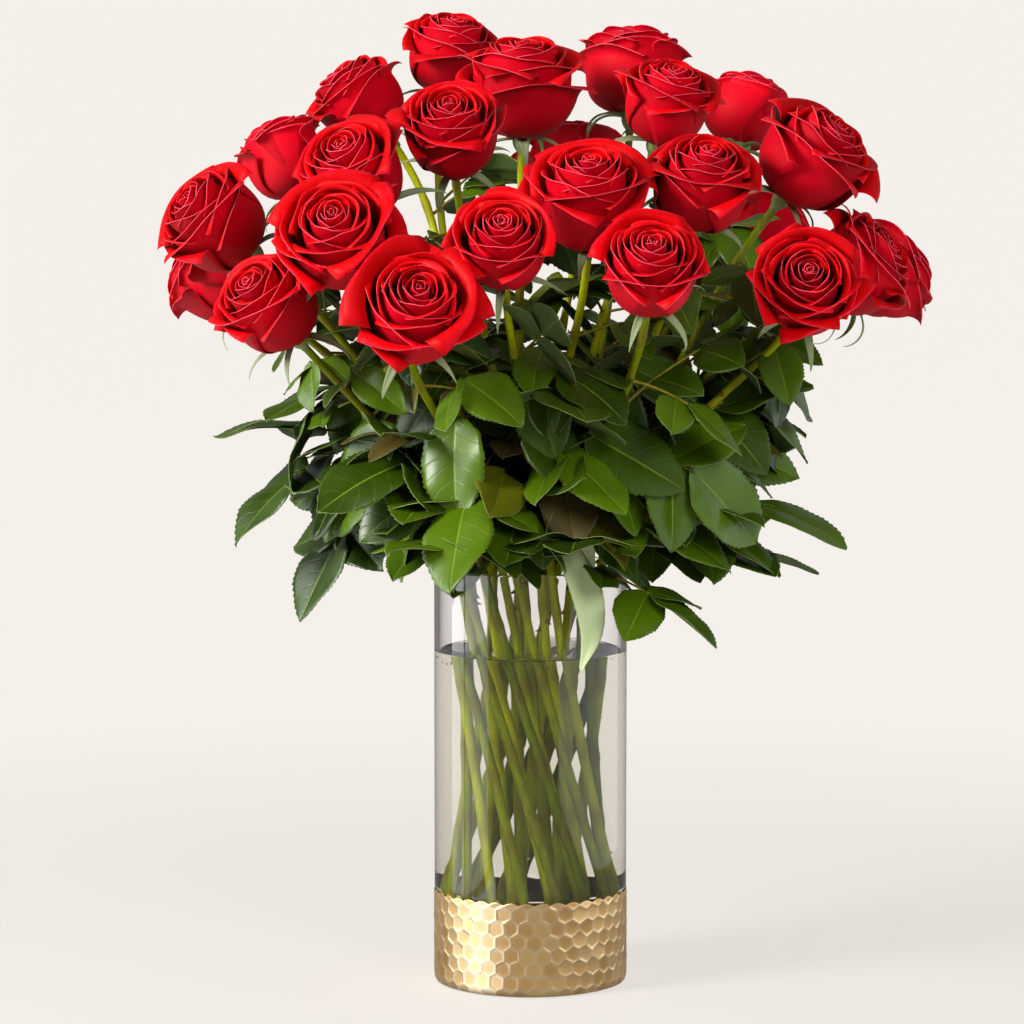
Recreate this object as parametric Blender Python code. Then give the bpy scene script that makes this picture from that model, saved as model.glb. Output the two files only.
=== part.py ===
"""Two dozen cut red roses standing in a clear cylinder vase with a gold band round its foot.

The row frame is +Z up, with the origin at the centre of the vase's flat underside. The side that the
bouquet is arranged to be seen from faces -Y. Blooms, stems and leaves are plain closed solids of the real
outer shape.
"""

import math

import bmesh
import bpy
import numpy as np
from mathutils import Matrix, Vector

MM = 0.001

# Vase
VASE_DIAMETER = 125 * MM
VASE_HEIGHT = 273 * MM
GLASS_WALL = 3.5 * MM
GLASS_FLOOR = 12 * MM
RIM_ROUNDING = 1.2 * MM
FOOT_ROUNDING = 5 * MM
FLOOR_FILLET = 4 * MM
VASE_SIDES = 40

# Gold band round the foot
BAND_TOP = 62 * MM
BAND_THICKNESS = 0.8 * MM
BAND_PROUD = 0.5 * MM
BAND_WRAP = math.radians(40)

# Stems
STEM_DIAMETER = 6 * MM
NECK_DIAMETER = 5 * MM
HIP_DIAMETER = 11 * MM
HIP_LENGTH = 9 * MM
STEM_POINTS = 15
# Where the spiral of stems is narrowest, as a share of the vase's height
TIE_SHARE = 0.55
TIE_HEIGHT = TIE_SHARE * VASE_HEIGHT
# How many stems each ring of the spiral takes, its radius at the tie, and its radius on the vase's floor
RINGS = ((3, 6 * MM, 14 * MM), (8, 18 * MM, 35 * MM), (13, 31 * MM, 51 * MM))
RIM_AHEAD = math.radians(12)

# Room kept between pieces that touch, and between pieces that only pass each other
SEAT_GAP = 0.3 * MM
CLEARANCE = 0.8 * MM

# Blooms: the profile is (radius, height) from the hip to the heart, for a bloom of diameter 1
BLOOM_PROFILE = (
    (0.0, 0.0),
    (0.09, 0.0),
    (0.25, 0.06),
    (0.39, 0.24),
    (0.455, 0.45),
    (0.47, 0.62),
    (0.42, 0.76),
    (0.26, 0.86),
    (0.0, 0.90),
)
BLOOM_SIDES = 10

# Compound leaves: a stalk with pairs of leaflets and one at its end
LEAF_THICKNESS = 0.8 * MM
LEAF_STALK_WIDTH = 2.0 * MM
LEAF_STALK = 82 * MM
LEAFLETS = ((0.32, 44 * MM, 30 * MM), (0.72, 56 * MM, 36 * MM))
END_LEAFLET = (70 * MM, 46 * MM)
LEAFLET_SPLAY = math.radians(70)
LEAF_ARCH = 1.6

# Each rose: where its heart is from the centre of the vase's mouth (right, back, up), the way that it faces
# (degrees round from +X, and above the horizon), and its diameter, all lengths in millimetres.
ROSES = (
    (-53, 100, 330, -60, 70, 62),
    (-6, 10, 308, -90, 78, 74),
    (-113, 80, 299, -170, 50, 62),
    (-61, -70, 275, -95, 48, 64),
    (-99, -90, 257, -120, 45, 68),
    (-161, 50, 262, 150, 62, 60),
    (-199, -60, 223, -150, 35, 68),
    (-208, 60, 183, 165, 30, 64),
    (-117, -150, 216, -98, 38, 70),
    (-160, -120, 175, -135, 42, 64),
    (-70, -190, 177, -82, 35, 70),
    (-19, -170, 212, -92, 42, 60),
    (35, -120, 240, -90, 60, 72),
    (71, -190, 199, -88, 45, 63),
    (67, 80, 319, 80, 78, 68),
    (87, -10, 298, -60, 62, 62),
    (142, 80, 292, 60, 66, 58),
    (178, -60, 263, -30, 48, 71),
    (106, -100, 248, -75, 58, 66),
    (168, -130, 186, -88, 28, 65),
    (208, -50, 195, -20, 30, 66),
    (234, 60, 185, 15, 28, 64),
    (160, 140, 207, 42, 40, 64),
    (32, 165, 254, 92, 50, 64),
)

# Each compound leaf in its own node: the rose that it grows on, its height above the vase's mouth, the way
# that it points (degrees round from +X, and above the horizon) and its size beside the usual one.
LEAVES = (
    (8, 86, -149, 0, 1.0),
    (10, 74, 149, 32, 1.0),
    (8, 80, -145, -32, 1.0),
    (11, 8, -124, 32, 0.95),
    (14, 8, -94, 32, 0.95),
    (12, 8, -25, 8, 0.9),
    (20, 14, 11, 16, 1.0),
    (18, 38, -24, 24, 1.05),
    (21, 26, 57, 24, 1.0),
    (6, 14, 119, 32, 1.0),
)

LEAF_GREEN = (0.035, 0.09, 0.02)
STEM_GREEN = (0.10, 0.17, 0.02)
PETAL_RED = (0.50, 0.0, 0.012)
GLASS_CLEAR = (0.93, 0.93, 0.95)
BAND_GOLD = (0.80, 0.58, 0.30)


def material(name, colour, roughness, metallic=0.0, transmission=0.0):
    """A Principled material."""
    made = bpy.data.materials.new(name)
    made.use_nodes = True
    shader = made.node_tree.nodes["Principled BSDF"]
    shader.inputs["Base Color"].default_value = (*colour, 1)
    shader.inputs["Roughness"].default_value = roughness
    shader.inputs["Metallic"].default_value = metallic
    shader.inputs["Transmission Weight"].default_value = transmission
    made.diffuse_color = (*colour, 1)
    return made


def add_object(name, data, finish):
    """An object in the scene, with its material."""
    data.materials.append(finish)
    made = bpy.data.objects.new(name, data)
    bpy.context.scene.collection.objects.link(made)
    return made


def arc(centre, radius, start, end, steps):
    """Points along an arc in the (radius, height) plane. Angles are in degrees."""
    turns = np.radians(np.linspace(start, end, steps + 1))
    return [(centre[0] + radius * math.cos(a), centre[1] + radius * math.sin(a)) for a in turns]


def turned(name, profile, sides, closed=False):
    """A mesh turned round +Z from a profile of (radius, height) points, with its faces pointing out."""
    shape = bmesh.new()
    chain = [shape.verts.new((r, 0, z)) for r, z in profile]
    ends = list(zip(chain, chain[1:]))
    if closed:
        ends.append((chain[-1], chain[0]))
    edges = [shape.edges.new(pair) for pair in ends]
    bmesh.ops.spin(
        shape,
        geom=chain + edges,
        cent=(0, 0, 0),
        axis=(0, 0, 1),
        angle=2 * math.pi,
        steps=sides,
        use_merge=True,
    )
    bmesh.ops.remove_doubles(shape, verts=shape.verts, dist=1e-6)
    bmesh.ops.recalc_face_normals(shape, faces=shape.faces)
    mesh = bpy.data.meshes.new(name)
    shape.to_mesh(mesh)
    shape.free()
    mesh.shade_smooth()
    mesh.set_sharp_from_angle(angle=math.radians(40))
    return mesh


# ---------------------------------------------------------------- vase

OUTER = VASE_DIAMETER / 2
INNER = OUTER - GLASS_WALL
BAND_OUTER = OUTER + BAND_PROUD
BAND_SEAT = BAND_OUTER - BAND_THICKNESS - SEAT_GAP


def build_vase(finish):
    """The glass: a flat foot, a shallow seat for the band, a straight wall and a rounded rim."""
    foot = (BAND_SEAT - FOOT_ROUNDING, FOOT_ROUNDING)
    rim = VASE_HEIGHT - RIM_ROUNDING
    seat_top = BAND_TOP + SEAT_GAP
    profile = [(0, 0)]
    profile += arc(foot, FOOT_ROUNDING, -90, 0, 3)
    profile += [(BAND_SEAT, seat_top), (OUTER, seat_top)]
    profile += arc((OUTER - RIM_ROUNDING, rim), RIM_ROUNDING, 0, 90, 2)
    profile += arc((INNER + RIM_ROUNDING, rim), RIM_ROUNDING, 90, 180, 2)
    profile += arc((INNER - FLOOR_FILLET, GLASS_FLOOR + FLOOR_FILLET), FLOOR_FILLET, 0, -90, 2)
    profile += [(0, GLASS_FLOOR)]
    add_object("vase_glass", turned("vase_glass", profile, VASE_SIDES), finish)


def build_band(finish):
    """The gold band: a thin sleeve that turns in under the foot's rounding and stops short of the table."""
    centre = (BAND_SEAT - FOOT_ROUNDING, FOOT_ROUNDING)
    outside = BAND_OUTER - centre[0]
    inside = outside - BAND_THICKNESS
    wrap = -math.degrees(BAND_WRAP)
    profile = [(BAND_OUTER, BAND_TOP)]
    profile += [(BAND_OUTER - BAND_THICKNESS, BAND_TOP)]
    profile += arc(centre, inside, 0, wrap, 2)
    profile += arc(centre, outside, wrap, 0, 2)
    add_object("gold_band", turned("gold_band", profile, VASE_SIDES, closed=True), finish)


# ---------------------------------------------------------------- how the roses stand


def direction(round_deg, up_deg):
    """A unit vector from an angle round +Z from +X and an angle above the horizon."""
    turn, rise = math.radians(round_deg), math.radians(up_deg)
    return np.array([math.cos(turn) * math.cos(rise), math.sin(turn) * math.cos(rise), math.sin(rise)])


def bloom_reach():
    """The radius of the smallest ball round a bloom's middle that holds its solid, for diameter 1."""
    middle = BLOOM_PROFILE[-1][1] / 2
    return max(math.hypot(r, z - middle) for r, z in BLOOM_PROFILE)


def settle_hearts():
    """The blooms' middles, moved apart until no two balls round them meet."""
    hearts = np.array([rose[:3] for rose in ROSES]) * MM + [0, 0, VASE_HEIGHT]
    radii = np.array([rose[5] for rose in ROSES]) * MM * bloom_reach()
    for _ in range(400):
        gaps = hearts[:, None] - hearts[None]
        apart = np.linalg.norm(gaps, axis=2) + np.eye(len(hearts))
        short = radii[:, None] + radii[None] + CLEARANCE - apart
        short[short < 0] = 0
        np.fill_diagonal(short, 0)
        if not short.any():
            break
        hearts += (gaps / apart[..., None] * short[..., None]).sum(axis=1) * 0.5
    return hearts, radii


def ring_places(hearts):
    """For each rose: its ring's radius at the tie and at the foot, and its angle at the tie."""
    reach = np.hypot(hearts[:, 0], hearts[:, 1])
    order = list(np.argsort(reach, kind="stable"))
    places = {}
    for count, tie, foot in RINGS:
        members, order = order[:count], order[count:]
        slope = math.sqrt(foot**2 - tie**2) / (TIE_HEIGHT - GLASS_FLOOR)
        swing = math.atan(slope * (VASE_HEIGHT - TIE_HEIGHT) / tie)
        angles = {i: math.atan2(hearts[i, 1], hearts[i, 0]) for i in members}
        members.sort(key=angles.get)
        slots = 2 * math.pi * np.arange(count) / count
        wanted = np.array([angles[i] for i in members]) + RIM_AHEAD + swing
        start = float(np.angle(np.exp(1j * (wanted - slots)).sum()))
        for i, slot in zip(members, slots):
            places[i] = (tie, slope, start + slot)
    return places


def spiral_point(place, height):
    """Where a stem of the spiral is at a height. Each one is a straight line, and all lean one way."""
    tie, slope, angle = place
    along = slope * (height - TIE_HEIGHT)
    turn_x, turn_y = math.cos(angle), math.sin(angle)
    return np.array([tie * turn_x + along * turn_y, tie * turn_y - along * turn_x, height])


def hermite(start, end, leaving, arriving, steps):
    """Points on a smooth curve between two points with the given tangents, without its first point."""
    t = np.linspace(0, 1, steps + 1)[1:, None]
    return (
        (2 * t**3 - 3 * t**2 + 1) * start
        + (t**3 - 2 * t**2 + t) * leaving
        + (3 * t**2 - 2 * t**3) * end
        + (t**3 - t**2) * arriving
    )


def stem_routes(hearts, facings, necks):
    """Each stem's centreline from the vase's floor to the start of its hip."""
    lowest = GLASS_FLOOR + SEAT_GAP + STEM_DIAMETER / 2
    routes = []
    for i, place in sorted(ring_places(hearts).items()):
        foot = spiral_point(place, lowest)
        mouth = spiral_point(place, VASE_HEIGHT)
        lean = (mouth - foot) / np.linalg.norm(mouth - foot)
        reach = np.linalg.norm(necks[i] - mouth)
        inside = foot + (mouth - foot) * np.linspace(0, 1, 26)[:, None]
        above = hermite(mouth, necks[i], lean * reach, facings[i] * reach * 0.7, 34)
        routes.append(np.vstack([inside, above]))
    return np.array(routes)


def part_stems(routes, hearts, radii):
    """Moves stems sideways until they clear each other, the other blooms and the vase's wall.

    The moves are worked out on level planes, and eased along each stem so that it stays a smooth curve.
    """
    radius = STEM_DIAMETER / 2
    levels = np.arange(GLASS_FLOOR + 2 * radius, routes[:, :, 2].max(), 6 * MM)
    count = len(routes)
    tops = routes[:, -1, 2]
    base = np.stack(
        [[np.interp(levels, r[:, 2], r[:, k]) for k in (0, 1)] for r in routes]
    ).transpose(0, 2, 1)
    slopes = np.gradient(base, levels, axis=1)
    stretch = np.sqrt(1 + (slopes**2).sum(axis=2))
    alive = levels[None] < tops[:, None] - 2 * radius
    shift = np.zeros_like(base)
    for _ in range(260):
        at = base + shift
        push = np.zeros_like(at)
        apart = at[:, None] - at[None]
        far = np.linalg.norm(apart, axis=3) + 1e-9
        need = (2 * radius + CLEARANCE) * np.maximum(stretch[:, None], stretch[None])
        short = np.clip(need - far, 0, None) * (alive[:, None] & alive[None])
        short[np.arange(count), np.arange(count)] = 0
        push += (apart / far[..., None] * short[..., None]).sum(axis=1) * 0.5
        for j, (heart, ball) in enumerate(zip(hearts, radii)):
            slice_radius = np.sqrt(np.clip(ball**2 - (levels - heart[2]) ** 2, 0, None))
            away = at - heart[None, None, :2]
            far = np.linalg.norm(away, axis=2) + 1e-9
            need = (slice_radius + radius + CLEARANCE) * (slice_radius > 0)
            short = np.clip(need[None] - far, 0, None) * alive
            short[j] = 0
            push += away / far[..., None] * short[..., None]
        if np.abs(push).max() < 0.02 * MM:
            break
        shift += push
        eased = shift.copy()
        eased[:, 1:-1] = shift[:, 1:-1] / 2 + (shift[:, :-2] + shift[:, 2:]) / 4
        eased[:, 0] = shift[:, 0]
        shift = eased
        far = np.linalg.norm(base + shift, axis=2)
        room = np.where(levels < VASE_HEIGHT + radius, INNER - radius - CLEARANCE, np.inf)
        over = np.clip(far - room[None], 0, None)
        shift -= (base + shift) / far[..., None] * over[..., None]
        shift *= np.clip((tops[:, None] - levels[None]) / (8 * radius), 0, 1)[..., None]
    for i, route in enumerate(routes):
        for k in (0, 1):
            route[:, k] += np.interp(route[:, 2], levels, shift[i, :, k])
    return routes


# ---------------------------------------------------------------- roses


def build_bloom(name, low, facing, diameter, finish):
    """One bloom: a closed cup of its outer shape, from its hip to its heart."""
    profile = [(r * diameter, z * diameter) for r, z in BLOOM_PROFILE]
    bloom = add_object(name, turned(name, profile, BLOOM_SIDES), finish)
    bloom.location = low
    bloom.rotation_mode = "QUATERNION"
    bloom.rotation_quaternion = Vector(facing).to_track_quat("Z", "Y")


def build_stem(name, route, facing, finish):
    """One stem: a tapering tube on its route, swelling into a straight hip that faces as its bloom does."""
    steps = np.linalg.norm(np.diff(route, axis=0), axis=1)
    along = np.concatenate([[0], np.cumsum(steps)])
    places = np.linspace(0, along[-1], STEM_POINTS)
    points = [[np.interp(place, along, route[:, k]) for k in range(3)] for place in places]
    points += [route[-1] + facing * HIP_LENGTH / 2, route[-1] + facing * HIP_LENGTH]
    widths = np.linspace(STEM_DIAMETER, NECK_DIAMETER, STEM_POINTS)
    widths = np.append(widths, [HIP_DIAMETER, HIP_DIAMETER])
    curve = bpy.data.curves.new(name, "CURVE")
    curve.dimensions = "3D"
    curve.bevel_depth = STEM_DIAMETER / 2
    curve.bevel_resolution = 1
    curve.use_fill_caps = True
    spline = curve.splines.new("POLY")
    spline.points.add(len(points) - 1)
    for point, place, width in zip(spline.points, points, widths):
        point.co = (*place, 1)
        point.radius = width / STEM_DIAMETER
    add_object(name, curve, finish)


def build_roses(petal, stem):
    """Every bloom and stem. Returns the stems' routes, for the leaves that grow on them."""
    hearts, radii = settle_hearts()
    facings = [direction(rose[3], rose[4]) for rose in ROSES]
    half = BLOOM_PROFILE[-1][1] / 2
    lows = [h - f * half * rose[5] * MM for h, f, rose in zip(hearts, facings, ROSES)]
    necks = [low - f * (SEAT_GAP + HIP_LENGTH) for low, f in zip(lows, facings)]
    routes = part_stems(stem_routes(hearts, facings, necks), hearts, radii)
    for n, (low, facing, rose) in enumerate(zip(lows, facings, ROSES), 1):
        build_bloom(f"rose_{n:02d}_bloom", low, facing, rose[5] * MM, petal)
        build_stem(f"rose_{n:02d}_stem", routes[n - 1], facing, stem)
    return routes


# ---------------------------------------------------------------- leaves


def leaflet_edge(length, width):
    """One leaflet's outline from its stalk round its tip and back, along +X, as (x, y) points."""
    shape = ((0.0, 0.0), (0.06, 0.42), (0.26, 0.90), (0.45, 1.0), (0.68, 0.80), (0.88, 0.36))
    right = [(x * length, -y * width / 2) for x, y in shape[1:]]
    left = [(x, -y) for x, y in reversed(right)]
    return right + [(length, 0.0)] + left


def leaf_outline(size):
    """The compound leaf's outline in its own plane: a stalk along +X, its leaflet pairs and end leaflet."""
    half = LEAF_STALK_WIDTH / 2
    stalk = LEAF_STALK * size
    right = [(0.0, -half)]
    for share, length, width in LEAFLETS:
        base = share * stalk
        for x, y in leaflet_edge(length * size, width * size):
            x += 3 * half
            turn = complex(x, y) * complex(math.cos(LEAFLET_SPLAY), -math.sin(LEAFLET_SPLAY))
            right.append((base + turn.real, turn.imag - half))
    left = [(x, -y) for x, y in reversed(right)]
    length, width = END_LEAFLET
    end = [(stalk + x, y) for x, y in leaflet_edge(length * size, width * size)]
    return right + [(stalk, -half)] + end + [(stalk, half)] + left


def build_leaf(name, root, facing, size, finish):
    """One compound leaf: its outline as a thin plate that arches down along its length."""
    shape = bmesh.new()
    corners = [shape.verts.new((x, y, 0)) for x, y in leaf_outline(size)]
    face = shape.faces.new(corners)
    face.normal_update()
    plate = bmesh.ops.triangulate(shape, faces=[face])["faces"]
    grown = bmesh.ops.extrude_face_region(shape, geom=plate)["geom"]
    thick = [v for v in grown if isinstance(v, bmesh.types.BMVert)]
    bmesh.ops.translate(shape, verts=thick, vec=(0, 0, LEAF_THICKNESS))
    for v in shape.verts:
        v.co.z -= LEAF_ARCH * v.co.x**2 / size + 0.6 * LEAF_ARCH * v.co.y**2 / size
    bmesh.ops.recalc_face_normals(shape, faces=shape.faces)
    mesh = bpy.data.meshes.new(name)
    shape.to_mesh(mesh)
    shape.free()
    leaf = add_object(name, mesh, finish)
    along = Vector(facing)
    across = Vector((0, 0, 1)).cross(along).normalized()
    turn = Matrix((along, across, along.cross(across))).transposed()
    leaf.matrix_world = Matrix.Translation(root) @ turn.to_4x4()


def leaf_root(route, height, facing):
    """Where a leaf that points this way leaves its stem at this height, just clear of the stem's skin."""
    below, point, above = (
        np.array([np.interp(height + step, route[:, 2], route[:, k]) for k in range(3)])
        for step in (-3 * MM, 0, 3 * MM)
    )
    along = (above - below) / np.linalg.norm(above - below)
    square = np.linalg.norm(facing - along * facing.dot(along))
    return point + facing * (STEM_DIAMETER / 2 + SEAT_GAP + LEAF_STALK_WIDTH / 2) / square


def build_leaves(routes, finish):
    """The compound leaves that have nodes of their own, each starting at the side of its stem."""
    for n, (rose, above, turn, rise, size) in enumerate(LEAVES, 1):
        facing = direction(turn, rise)
        root = leaf_root(routes[rose - 1], VASE_HEIGHT + above * MM, facing)
        build_leaf(f"leaf_{n:02d}", root, facing, size, finish)


def main():
    for leftover in list(bpy.data.objects):
        bpy.data.objects.remove(leftover)
    build_vase(material("clear_glass", GLASS_CLEAR, 0.02, transmission=1.0))
    build_band(material("gold_leaf", BAND_GOLD, 0.3, metallic=1.0))
    routes = build_roses(material("petal", PETAL_RED, 0.55), material("stem", STEM_GREEN, 0.45))
    build_leaves(routes, material("leaf", LEAF_GREEN, 0.4))


main()
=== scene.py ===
"""Looks for two dozen red roses in a clear cylinder vase of water, with a gold band round its foot."""

import math
import random

import bmesh
import bpy
import numpy as np
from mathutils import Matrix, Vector


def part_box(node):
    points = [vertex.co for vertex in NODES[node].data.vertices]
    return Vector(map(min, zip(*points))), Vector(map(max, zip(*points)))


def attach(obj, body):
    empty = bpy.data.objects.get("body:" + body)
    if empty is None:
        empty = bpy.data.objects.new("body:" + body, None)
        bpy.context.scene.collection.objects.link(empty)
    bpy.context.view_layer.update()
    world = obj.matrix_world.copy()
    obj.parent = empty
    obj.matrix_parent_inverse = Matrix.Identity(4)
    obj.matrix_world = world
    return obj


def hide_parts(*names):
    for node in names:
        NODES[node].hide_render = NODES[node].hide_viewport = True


MM = 0.001
BODY = "root"
ROSE_COUNT = 24
GOLDEN_TURN = math.radians(137.5)

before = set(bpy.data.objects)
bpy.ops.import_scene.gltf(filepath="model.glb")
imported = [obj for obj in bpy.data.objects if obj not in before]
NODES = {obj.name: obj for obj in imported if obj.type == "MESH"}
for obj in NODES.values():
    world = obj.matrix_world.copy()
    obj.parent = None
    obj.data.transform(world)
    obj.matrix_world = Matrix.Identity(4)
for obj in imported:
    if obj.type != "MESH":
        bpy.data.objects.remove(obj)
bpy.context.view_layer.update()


# ---------------------------------------------------------------- reading the CAD


def corners_of(node):
    """The distinct corners of a CAD node, in metres."""
    mesh = NODES[node].data
    points = np.empty(len(mesh.vertices) * 3)
    mesh.vertices.foreach_get("co", points)
    points = points.reshape(-1, 3)
    _, first = np.unique(np.round(points, 6), axis=0, return_index=True)
    return points[np.sort(first)]


def unit(v):
    return v / np.linalg.norm(v)


def lengths_along(line):
    """How far along a line of points each of them is."""
    return np.concatenate([[0], np.cumsum(np.linalg.norm(np.diff(line, axis=0), axis=1))])


def nearest(points, target, count):
    """The given number of points nearest to a target, and the rest."""
    order = np.argsort(np.linalg.norm(points - target, axis=1), kind="stable")
    return points[order[:count]], points[order[count:]]


def spline(knots, count):
    """A smooth curve through the knots, at evenly spaced points."""
    padded = np.vstack([2 * knots[0] - knots[1], knots, 2 * knots[-1] - knots[-2]])
    out = []
    for a, b, c, d in zip(padded, padded[1:], padded[2:], padded[3:]):
        t = np.linspace(0, 1, 9)[:-1, None]
        out.append(
            0.5 * (2 * b + (c - a) * t + (2 * a - 5 * b + 4 * c - d) * t**2 + (3 * b - a - 3 * c + d) * t**3)
        )
    fine = np.vstack(out + [knots[-1:]])
    along = lengths_along(fine)
    places = np.linspace(0, along[-1], count)
    return np.stack([np.interp(places, along, fine[:, k]) for k in range(3)], axis=1)


def eased(line):
    """A stem's centreline with most of its waver taken out below the vase's mouth."""
    inside = line[:, 2] < RIM_Z
    low, high = line[0], line[inside][-1]
    share = np.clip((line[:, 2:] - low[2]) / (high[2] - low[2]), 0, 1)
    chord = low + (high - low) * share
    out = np.where(inside[:, None], chord + 0.35 * (line - chord), line)
    for _ in range(6):
        out[1:-1] = out[1:-1] / 2 + (out[:-2] + out[2:]) / 4
    return out


class Rose:
    """Where the CAD puts one rose: its stem's centreline, and its bloom's base, axis and diameter."""

    def __init__(self, number):
        self.number = number
        bloom = corners_of(f"rose_{number:02d}_bloom")
        stem = corners_of(f"rose_{number:02d}_stem")
        middle = bloom.mean(axis=0)
        top, rest = nearest(stem, middle, 6)
        hip, rest = nearest(rest, middle, 6)
        neck, rest = nearest(rest, middle, 6)
        rest = rest[np.argsort(rest[:, 2], kind="stable")]
        rings = [ring.mean(axis=0) for ring in np.array_split(rest, max(1, len(rest) // 6))]
        self.base = top.mean(axis=0)
        self.axis = unit(middle - self.base)
        self.size = float(((bloom - self.base) @ self.axis).max() / 0.9)
        self.heart = self.base + self.axis * 0.45 * self.size
        self.line = eased(spline(np.array(rings + [neck.mean(axis=0), hip.mean(axis=0)]), 90))


VASE_HIGH = np.array(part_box("vase_glass")[1])
BAND_LOW, BAND_HIGH = (np.array(corner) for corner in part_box("gold_band"))
VASE_R = float(VASE_HIGH[0])
RIM_Z = float(VASE_HIGH[2])
BAND_R = float(BAND_HIGH[0])
BAND_Z = float(BAND_HIGH[2])
WALL = 3.5 * MM
FLOOR_Z = 12 * MM
WATER_Z = RIM_Z - 56 * MM
ROSES = [Rose(n) for n in range(1, ROSE_COUNT + 1)]


# ---------------------------------------------------------------- node materials


def shader_of(name, **constants):
    """A new Principled material with constants on its sockets, and its node tree."""
    made = bpy.data.materials.new(name)
    made.use_nodes = True
    shader = made.node_tree.nodes["Principled BSDF"]
    for socket, value in constants.items():
        shader.inputs[socket.replace("_", " ")].default_value = value
    return made, made.node_tree, shader


def node(tree, kind, *sources, **settings):
    """A node with its settings, and its inputs by order: a socket is linked, and a value is set."""
    made = tree.nodes.new(kind)
    for key, value in settings.items():
        setattr(made, key, value)
    for socket, source in zip(made.inputs, sources):
        if isinstance(source, bpy.types.NodeSocket):
            tree.links.new(source, socket)
        elif source is not None:
            socket.default_value = source
    return made


def maths(tree, operation, *sources):
    return node(tree, "ShaderNodeMath", *sources, operation=operation).outputs[0]


def plus(tree, first, second):
    return maths(tree, "ADD", first, second)


def minus(tree, first, second):
    return maths(tree, "SUBTRACT", first, second)


def times(tree, first, second):
    return maths(tree, "MULTIPLY", first, second)


def channels(tree, name):
    """The red, green, blue and alpha of a mesh's colour attribute."""
    read = node(tree, "ShaderNodeAttribute", attribute_name=name)
    split = node(tree, "ShaderNodeSeparateColor", read.outputs["Color"])
    return (*split.outputs, read.outputs["Alpha"])


def ramp(tree, factor, *stops):
    """A colour ramp with (place, colour) stops."""
    made = node(tree, "ShaderNodeValToRGB", factor)
    elements = made.color_ramp.elements
    while len(elements) < len(stops):
        elements.new(0.5)
    for element, (place, colour) in zip(elements, stops):
        element.position = place
        element.color = (*colour, 1)
    return made.outputs[0]


def blend(tree, factor, first, second, how="MIX"):
    made = node(tree, "ShaderNodeMix", data_type="RGBA", blend_type=how)
    for socket, source in zip((made.inputs[0], made.inputs[6], made.inputs[7]), (factor, first, second)):
        if isinstance(source, bpy.types.NodeSocket):
            tree.links.new(source, socket)
        elif isinstance(source, tuple):
            socket.default_value = (*source, 1)
        else:
            socket.default_value = source
    return made.outputs[2]


def noise(tree, scale, detail=2.0, rough=0.5, where=None):
    made = node(tree, "ShaderNodeTexNoise", where)
    made.inputs["Scale"].default_value = scale
    made.inputs["Detail"].default_value = detail
    made.inputs["Roughness"].default_value = rough
    return made.outputs[0]


def bump(tree, shader, height, strength, distance):
    made = node(tree, "ShaderNodeBump", strength, distance)
    tree.links.new(height, made.inputs["Height"])
    tree.links.new(made.outputs[0], shader.inputs["Normal"])


def combine(tree, x, y, z):
    return node(tree, "ShaderNodeCombineXYZ", x, y, z).outputs[0]


def object_point(tree):
    return node(tree, "ShaderNodeTexCoord").outputs["Object"]


def petal_material(name, tones, sheen, rough):
    """Velvety petal skin. The mesh's lay attribute holds (along, across, chance, -)."""
    made, tree, shader = shader_of(name, Sheen_Weight=sheen, Sheen_Roughness=0.4, Specular_IOR_Level=0.10)
    shader.inputs["Sheen Tint"].default_value = (1.0, 0.16, 0.24, 1)
    along, across, chance, _ = channels(tree, "lay")
    vein_and_base_shade, body, lip = tones
    mottled = noise(tree, 90, 3, 0.6, object_point(tree))
    reach = plus(tree, along, times(tree, minus(tree, mottled, 0.5), 0.35))
    # Painted shade: the first stop darkens each petal toward its base. Painted highlight: the last stop puts a
    # pale band along its lip.
    colour = ramp(tree, reach, (0.10, vein_and_base_shade), (0.58, body), (0.93, body), (1.0, lip))
    streak_at = combine(tree, times(tree, across, 26), times(tree, along, 2.2), times(tree, chance, 31))
    streaks = noise(tree, 1.0, 3, 0.6, streak_at)
    colour = blend(tree, times(tree, streaks, 0.35), colour, vein_and_base_shade)
    value = node(tree, "ShaderNodeHueSaturation")
    tree.links.new(colour, value.inputs["Color"])
    tree.links.new(plus(tree, 0.78, times(tree, chance, 0.42)), value.inputs["Value"])
    tree.links.new(value.outputs[0], shader.inputs["Base Color"])
    tree.links.new(plus(tree, rough, times(tree, mottled, 0.2)), shader.inputs["Roughness"])
    bump(tree, shader, streaks, 0.35, 0.6 * MM)
    return made


# What kind a leaf is, as its lay attribute says
GREEN, OLIVE, YOUNG = 0.0, 0.5, 1.0


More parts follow.
